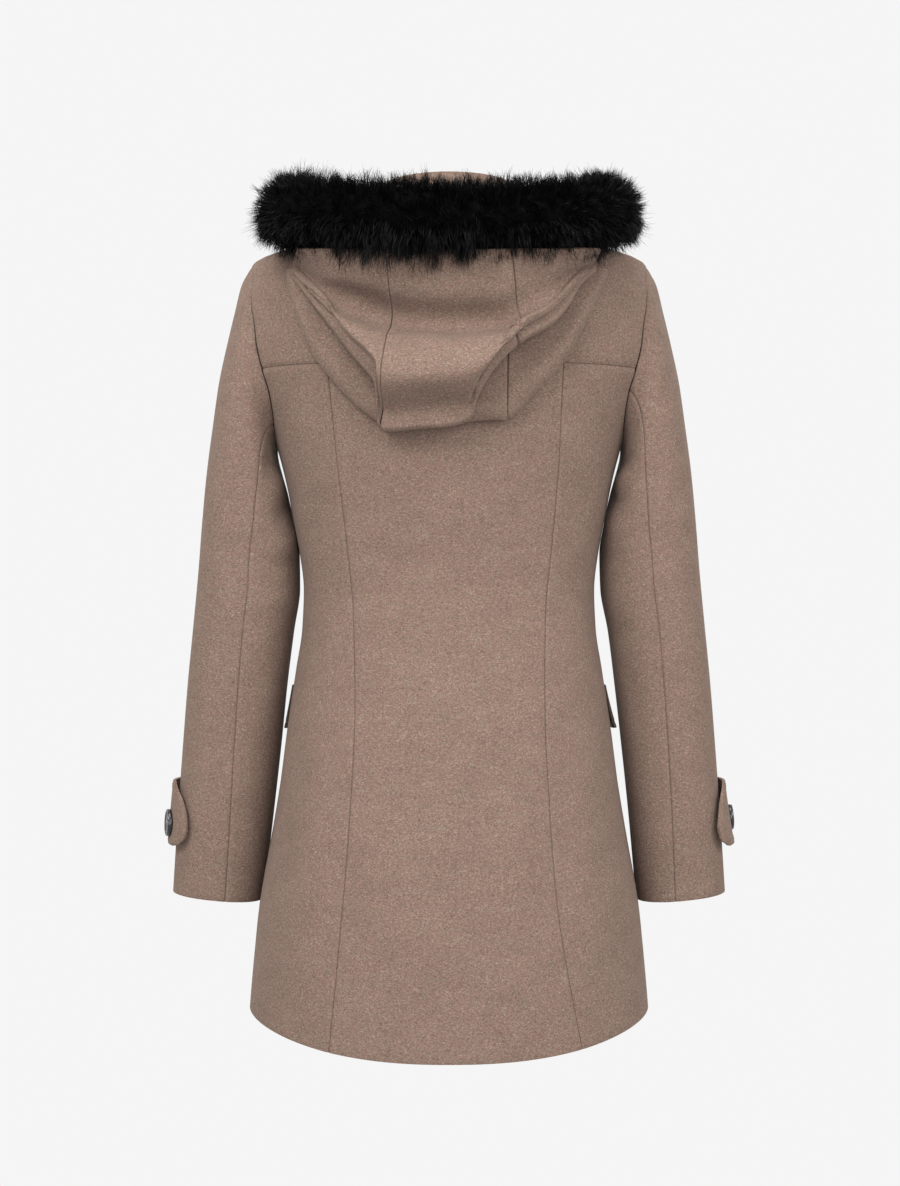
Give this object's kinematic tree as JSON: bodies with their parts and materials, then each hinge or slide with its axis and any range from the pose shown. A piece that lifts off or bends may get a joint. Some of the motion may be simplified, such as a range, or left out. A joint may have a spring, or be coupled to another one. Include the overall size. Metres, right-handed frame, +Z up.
{
  "type": "hooded duffle coat",
  "caption": "Short fitted hooded wool coat with a fur-edged turned-down hood, back yoke, curved back seams and buttoned cuff tabs, filled out as worn.",
  "frame": {"origin": "middle of the neck base, level with the points where the shoulder seams meet the neck", "axes": "+Z up, +Y to the wearer's front, +X to the wearer's right"},
  "size_m": [0.5796, 0.351, 0.8479],
  "materials": {
    "wool": "heathered brushed wool",
    "flap_lining": "dark satin lining",
    "buttons": "polished, marbled",
    "fur": "long black fur",
    "toggles": "polished dark horn",
    "cords": "braided cord",
    "patches": "dark smooth leather"
  },
  "bodies": {
    "root": {"back_yoke": "wool", "back_centre": "wool", "back_side_left": "wool", "back_side_right": "wool", "front_left": "wool", "front_right": "wool", "sleeve_upper_left": "wool", "sleeve_upper_right": "wool", "sleeve_under_left": "wool", "sleeve_under_right": "wool", "collar_stand": "wool", "hood_centre": "wool", "hood_side_left": "wool", "hood_side_right": "wool", "cuff_tab_left": "wool", "cuff_tab_right": "wool", "pocket_flap_left": "wool", "pocket_flap_right": "wool", "pocket_flap_lining_left": "flap_lining", "pocket_flap_lining_right": "flap_lining", "cuff_button_left": "buttons", "cuff_button_right": "buttons", "fur_trim": "fur", "toggle_1": "toggles", "toggle_cord_1": "cords", "toggle_loop_1": "cords", "toggle_patch_left_1": "patches", "toggle_patch_right_1": "patches", "toggle_2": "toggles", "toggle_cord_2": "cords", "toggle_loop_2": "cords", "toggle_patch_left_2": "patches", "toggle_patch_right_2": "patches", "toggle_3": "toggles", "toggle_cord_3": "cords", "toggle_loop_3": "cords", "toggle_patch_left_3": "patches", "toggle_patch_right_3": "patches", "toggle_4": "toggles", "toggle_cord_4": "cords", "toggle_loop_4": "cords", "toggle_patch_left_4": "patches", "toggle_patch_right_4": "patches"}
  },
  "joints": []
}
